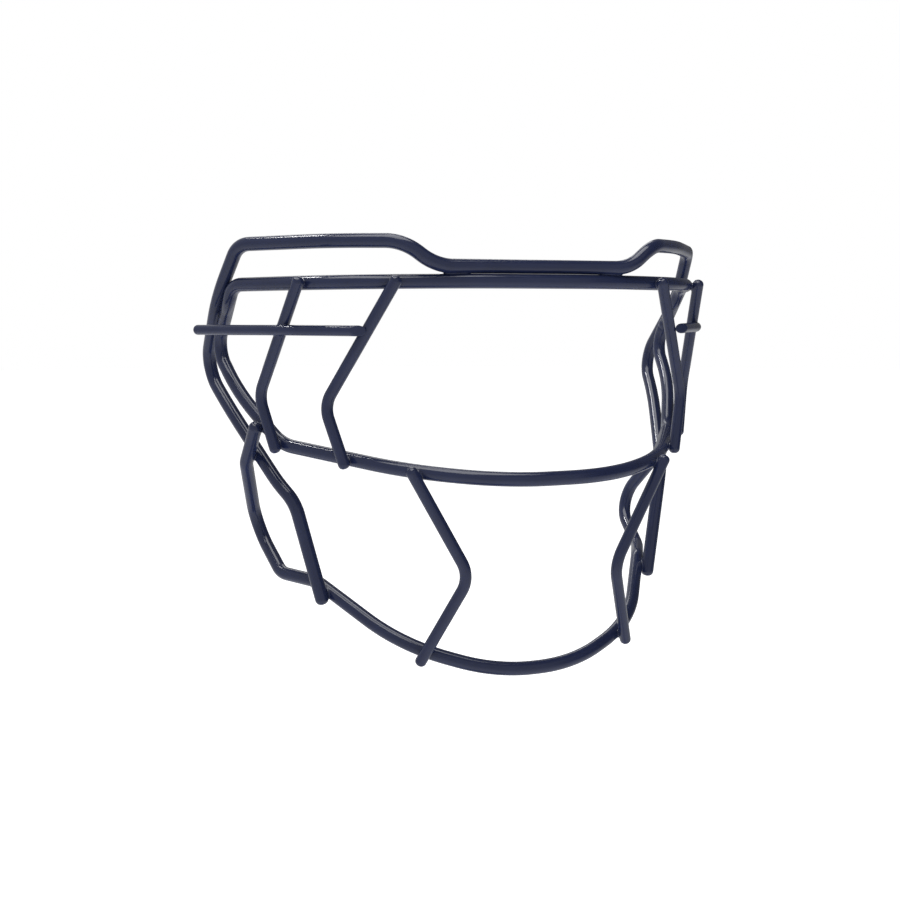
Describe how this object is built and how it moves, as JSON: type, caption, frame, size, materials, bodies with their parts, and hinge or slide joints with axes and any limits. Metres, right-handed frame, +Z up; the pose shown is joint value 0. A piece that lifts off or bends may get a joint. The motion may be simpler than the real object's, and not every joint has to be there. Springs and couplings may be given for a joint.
{
  "type": "football helmet facemask",
  "caption": "Open wire facemask for a football helmet: bent coated wires crossing at welds around eye and mouth openings, with free side bar ends for clips.",
  "frame": {"origin": "the middle of the mask's outer box, on its middle plane", "axes": "+X to the wearer's left, -Y to the front (the way the face looks), +Z up as worn"},
  "size_m": [0.2564, 0.1341, 0.1864],
  "materials": {
    "coated_wire": "smooth satin-gloss dark navy coating over steel wire",
    "coated_weld": "the same dark navy coating over a weld bead"
  },
  "bodies": {
    "root": {"top_frame": "coated_wire", "eye_ring_upper": "coated_wire", "eye_ring_lower": "coated_wire", "chin_bar": "coated_wire", "outer_upright_r": "coated_wire", "outer_upright_l": "coated_wire", "inner_upright_r": "coated_wire", "inner_upright_l": "coated_wire", "mouth_upright_r": "coated_wire", "mouth_upright_l": "coated_wire", "side_bar_r": "coated_wire", "side_bar_l": "coated_wire", "weld_brow": "coated_weld", "weld_temple_r": "coated_weld", "weld_temple_l": "coated_weld", "weld_ring_r": "coated_weld", "weld_ring_l": "coated_weld", "weld_outer_r": "coated_weld", "weld_outer_l": "coated_weld", "weld_inner_r": "coated_weld", "weld_inner_l": "coated_weld", "weld_mouth_r": "coated_weld", "weld_mouth_l": "coated_weld", "weld_side_r": "coated_weld", "weld_side_l": "coated_weld", "weld_chin_r": "coated_weld", "weld_chin_l": "coated_weld"}
  },
  "joints": []
}
